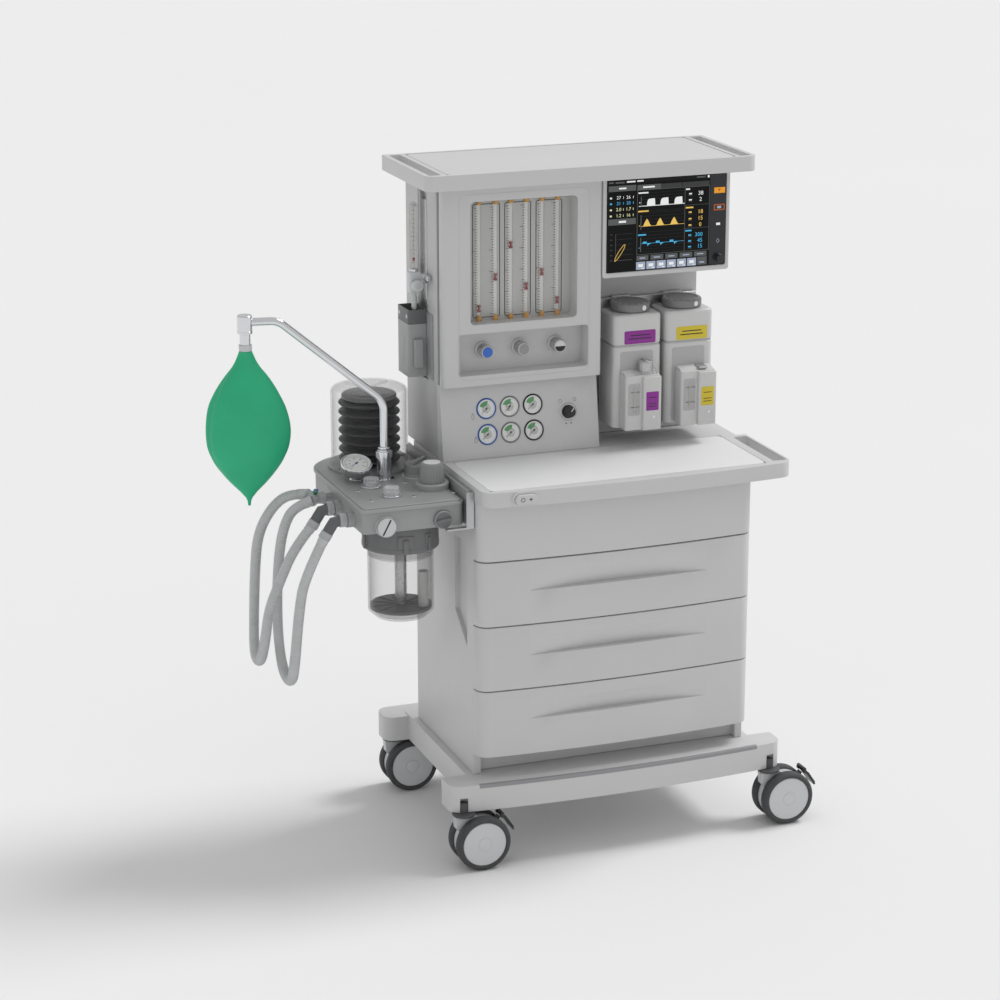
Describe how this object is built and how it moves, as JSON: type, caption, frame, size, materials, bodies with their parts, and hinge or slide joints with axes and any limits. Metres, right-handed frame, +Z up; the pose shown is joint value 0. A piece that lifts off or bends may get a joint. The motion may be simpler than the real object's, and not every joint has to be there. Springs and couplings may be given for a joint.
{
  "type": "anesthesia machine",
  "caption": "Mobile anesthesia workstation: castor base, drawer cabinet, worktop, flowmeter and display column, vaporizers, absorber block with bellows, swinging bag arm and breathing hoses.",
  "frame": {"origin": "the middle of the footprint, without the hoses, on the floor", "axes": "+Z up; +X to the display and vaporizer side, so the breathing block is on -X; -Y towards the user, who faces the drawers"},
  "size_m": [1.2238, 0.525, 1.4],
  "materials": {
    "body_white": "white powder coat and white mouldings, fine texture",
    "shell_grey": "light grey sheet metal",
    "mat_grey": "grey non-slip mat",
    "screen": "glossy dark bezel with a lit display",
    "window": "clear pane",
    "tube_glass": "clear graduated tubes",
    "float_red": "maroon floats",
    "gauge_face": "white dial under a clear lens",
    "knob_blue": "blue fluted knob",
    "knob_grey": "grey fluted knob",
    "knob_white": "white fluted knob",
    "knob_black": "black knob",
    "vaporizer_white": "enamelled housing",
    "vaporizer_dial": "grey fluted dial",
    "manifold": "machined bar",
    "green_button": "white push button",
    "block_metal": "bead-blasted anodised block",
    "cover_metal": "mid-grey cover plate",
    "dome_clear": "clear bell",
    "bellows_dark": "dark pleated bellows",
    "valve_clear": "clear valve caps",
    "airway_gauge": "metal case, white dial",
    "canister_clear": "clear jar",
    "arm_chrome": "polished tube",
    "bag_green": "green latex bag",
    "hose_grey": "corrugated hose",
    "fitting_blue": "hose fittings",
    "caster_grey": "light grey nylon",
    "tyre": "dark grey tread",
    "pedal": "black ribbed pedal"
  },
  "bodies": {
    "machine": {"base_frame": "body_white", "worktop_mat": "mat_grey", "tray_mat": "mat_grey", "cabinet_shell": "body_white", "worktop": "body_white", "top_tray": "body_white", "column_shell": "shell_grey", "flowmeter_fascia": "body_white", "flow_tube_rack": "tube_glass", "flowmeter_window": "window", "gauge_panel": "body_white", "pressure_gauges": "gauge_face", "display_housing": "shell_grey", "display_screen": "screen", "vaporizer_manifold": "manifold", "vaporizer_left_body": "vaporizer_white", "vaporizer_right_body": "vaporizer_white", "aux_flowmeter": "tube_glass", "accessory_holder": "shell_grey", "breathing_block": "block_metal", "breathing_block_cover": "cover_metal", "block_bracket": "block_metal", "bellows_dome": "dome_clear", "check_valve_domes": "valve_clear", "airway_gauge": "airway_gauge", "hose_fittings": "fitting_blue", "inspiratory_hose": "hose_grey", "expiratory_hose": "hose_grey"},
    "drawer_1": {"drawer_1": "body_white"},
    "drawer_2": {"drawer_2": "body_white"},
    "drawer_3": {"drawer_3": "body_white"},
    "flow_knob_1": {"flow_knob_1": "knob_blue"},
    "flow_floats_1": {"flow_floats_1": "float_red"},
    "flow_knob_2": {"flow_knob_2": "knob_grey"},
    "flow_floats_2": {"flow_floats_2": "float_red"},
    "flow_knob_3": {"flow_knob_3": "knob_white"},
    "flow_floats_3": {"flow_floats_3": "float_red"},
    "selector_knob": {"selector_knob": "knob_black"},
    "display_dial": {"display_dial": "knob_grey"},
    "vaporizer_left_dial": {"vaporizer_left_dial": "vaporizer_dial"},
    "vaporizer_right_dial": {"vaporizer_right_dial": "vaporizer_dial"},
    "oxygen_flush_button": {"oxygen_flush_button": "green_button"},
    "aux_flow_knob": {"aux_flow_knob": "knob_white"},
    "apl_knob": {"apl_knob": "knob_grey"},
    "bag_vent_switch": {"bag_vent_switch": "knob_grey"},
    "bellows": {"bellows_disc": "knob_black", "bellows_folds": "bellows_dark"},
    "canister_jar": {"canister_jar": "canister_clear"},
    "bag_arm": {"bag_arm": "arm_chrome", "breathing_bag": "bag_green"},
    "caster_front_left": {"caster_housing_front_left": "caster_grey"},
    "wheels_front_left": {"caster_wheels_front_left": "tyre"},
    "brake_pedal_front_left": {"brake_pedal_front_left": "pedal"},
    "caster_front_right": {"caster_housing_front_right": "caster_grey"},
    "wheels_front_right": {"caster_wheels_front_right": "tyre"},
    "brake_pedal_front_right": {"brake_pedal_front_right": "pedal"},
    "caster_rear_left": {"caster_housing_rear_left": "caster_grey"},
    "wheels_rear_left": {"caster_wheels_rear_left": "tyre"},
    "caster_rear_right": {"caster_housing_rear_right": "caster_grey"},
    "wheels_rear_right": {"caster_wheels_rear_right": "tyre"}
  },
  "joints": [
    {"name": "drawer_1_slide", "type": "slide", "parent": "machine", "child": "drawer_1", "axis": [0, -1, 0], "range_m": [0, 0.27]},
    {"name": "drawer_2_slide", "type": "slide", "parent": "machine", "child": "drawer_2", "axis": [0, -1, 0], "range_m": [0, 0.27]},
    {"name": "drawer_3_slide", "type": "slide", "parent": "machine", "child": "drawer_3", "axis": [0, -1, 0], "range_m": [0, 0.27]},
    {"name": "flow_knob_1_turn", "type": "hinge", "parent": "machine", "child": "flow_knob_1", "pos_m": [-0.04024, -0.0075, 1.019], "axis": [0, -1, 0], "range_deg": [-8, 120]},
    {"name": "flow_floats_1_rise", "type": "slide", "parent": "machine", "child": "flow_floats_1", "axis": [0, 0, 1], "range_m": [-0.004, 0.06]},
    {"name": "flow_knob_2_turn", "type": "hinge", "parent": "machine", "child": "flow_knob_2", "pos_m": [0.03926, -0.0075, 1.019], "axis": [0, -1, 0], "range_deg": [-90, 120]},
    {"name": "flow_floats_2_rise", "type": "slide", "parent": "machine", "child": "flow_floats_2", "axis": [0, 0, 1], "range_m": [-0.045, 0.06]},
    {"name": "flow_knob_3_turn", "type": "hinge", "parent": "machine", "child": "flow_knob_3", "pos_m": [0.11876, -0.0075, 1.019], "axis": [0, -1, 0], "range_deg": [-20, 120]},
    {"name": "flow_floats_3_rise", "type": "slide", "parent": "machine", "child": "flow_floats_3", "axis": [0, 0, 1], "range_m": [-0.01, 0.06]},
    {"name": "selector_turn", "type": "hinge", "parent": "machine", "child": "selector_knob", "pos_m": [0.14076, 0.00968, 0.876], "axis": [0, -0.9894, 0.1454], "range_deg": [0, 90]},
    {"name": "display_dial_turn", "type": "hinge", "parent": "machine", "child": "display_dial", "pos_m": [0.46476, -0.0075, 1.182], "axis": [0, -1, 0], "continuous": true},
    {"name": "vaporizer_left_dial_turn", "type": "hinge", "parent": "machine", "child": "vaporizer_left_dial", "pos_m": [0.28876, 0.0375, 1.074], "axis": [0, 0, 1], "range_deg": [0, 270]},
    {"name": "vaporizer_right_dial_turn", "type": "hinge", "parent": "machine", "child": "vaporizer_right_dial", "pos_m": [0.40576, 0.0375, 1.074], "axis": [0, 0, 1], "range_deg": [0, 270]},
    {"name": "oxygen_flush_press", "type": "slide", "parent": "machine", "child": "oxygen_flush_button", "axis": [0, 1, 0], "range_m": [0, 0.005], "stiffness_N_per_m": 600, "springref_m": -0.002},
    {"name": "aux_flow_knob_turn", "type": "hinge", "parent": "machine", "child": "aux_flow_knob", "pos_m": [-0.16324, 0.0849, 1.1506], "axis": [0, -1, 0], "range_deg": [0, 270]},
    {"name": "apl_turn", "type": "hinge", "parent": "machine", "child": "apl_knob", "pos_m": [-0.18624, -0.0675, 0.767], "axis": [0, 0, 1], "range_deg": [0, 270]},
    {"name": "bag_vent_turn", "type": "hinge", "parent": "machine", "child": "bag_vent_switch", "pos_m": [-0.18524, 0.0285, 0.767], "axis": [0, 0, 1], "range_deg": [-90, 0]},
    {"name": "bellows_fall", "type": "slide", "parent": "machine", "child": "bellows", "axis": [0, 0, -1], "range_m": [0, 0.095], "deforming": ["bellows_folds"]},
    {"name": "canister_drop", "type": "slide", "parent": "machine", "child": "canister_jar", "axis": [0, 0, -1], "range_m": [0, 0.028]},
    {"name": "bag_arm_swing", "type": "hinge", "parent": "machine", "child": "bag_arm", "pos_m": [-0.25624, 0.0275, 0.83], "axis": [0, 0, 1], "range_deg": [-30, 100]},
    {"name": "caster_swivel_front_left", "type": "hinge", "parent": "machine", "child": "caster_front_left", "pos_m": [-0.17824, -0.2275, 0.122], "axis": [0, 0, 1], "continuous": true},
    {"name": "wheel_roll_front_left", "type": "hinge", "parent": "caster_front_left", "child": "wheels_front_left", "pos_m": [-0.14424, -0.2275, 0.0575], "axis": [0, 1, 0], "continuous": true},
    {"name": "brake_press_front_left", "type": "hinge", "parent": "caster_front_left", "child": "brake_pedal_front_left", "pos_m": [-0.09974, -0.2275, 0.10692], "axis": [0, 1, 0], "range_deg": [0, 5]},
    {"name": "caster_swivel_front_right", "type": "hinge", "parent": "machine", "child": "caster_front_right", "pos_m": [0.50776, -0.2275, 0.122], "axis": [0, 0, 1], "continuous": true},
    {"name": "wheel_roll_front_right", "type": "hinge", "parent": "caster_front_right", "child": "wheels_front_right", "pos_m": [0.54176, -0.2275, 0.0575], "axis": [0, 1, 0], "continuous": true},
    {"name": "brake_press_front_right", "type": "hinge", "parent": "caster_front_right", "child": "brake_pedal_front_right", "pos_m": [0.58626, -0.2275, 0.10692], "axis": [0, 1, 0], "range_deg": [0, 5]},
    {"name": "caster_swivel_rear_left", "type": "hinge", "parent": "machine", "child": "caster_rear_left", "pos_m": [-0.17824, 0.2265, 0.122], "axis": [0, 0, 1], "continuous": true},
    {"name": "wheel_roll_rear_left", "type": "hinge", "parent": "caster_rear_left", "child": "wheels_rear_left", "pos_m": [-0.14424, 0.2265, 0.0575], "axis": [0, 1, 0], "continuous": true},
    {"name": "caster_swivel_rear_right", "type": "hinge", "parent": "machine", "child": "caster_rear_right", "pos_m": [0.50776, 0.2265, 0.122], "axis": [0, 0, 1], "continuous": true},
    {"name": "wheel_roll_rear_right", "type": "hinge", "parent": "caster_rear_right", "child": "wheels_rear_right", "pos_m": [0.54176, 0.2265, 0.0575], "axis": [0, 1, 0], "continuous": true}
  ],
  "couplings": [
    {"joint": "flow_floats_1_rise", "follows": "flow_knob_1_turn", "m_per_rad": 0.0286},
    {"joint": "flow_floats_2_rise", "follows": "flow_knob_2_turn", "m_per_rad": 0.0286},
    {"joint": "flow_floats_3_rise", "follows": "flow_knob_3_turn", "m_per_rad": 0.0286}
  ]
}
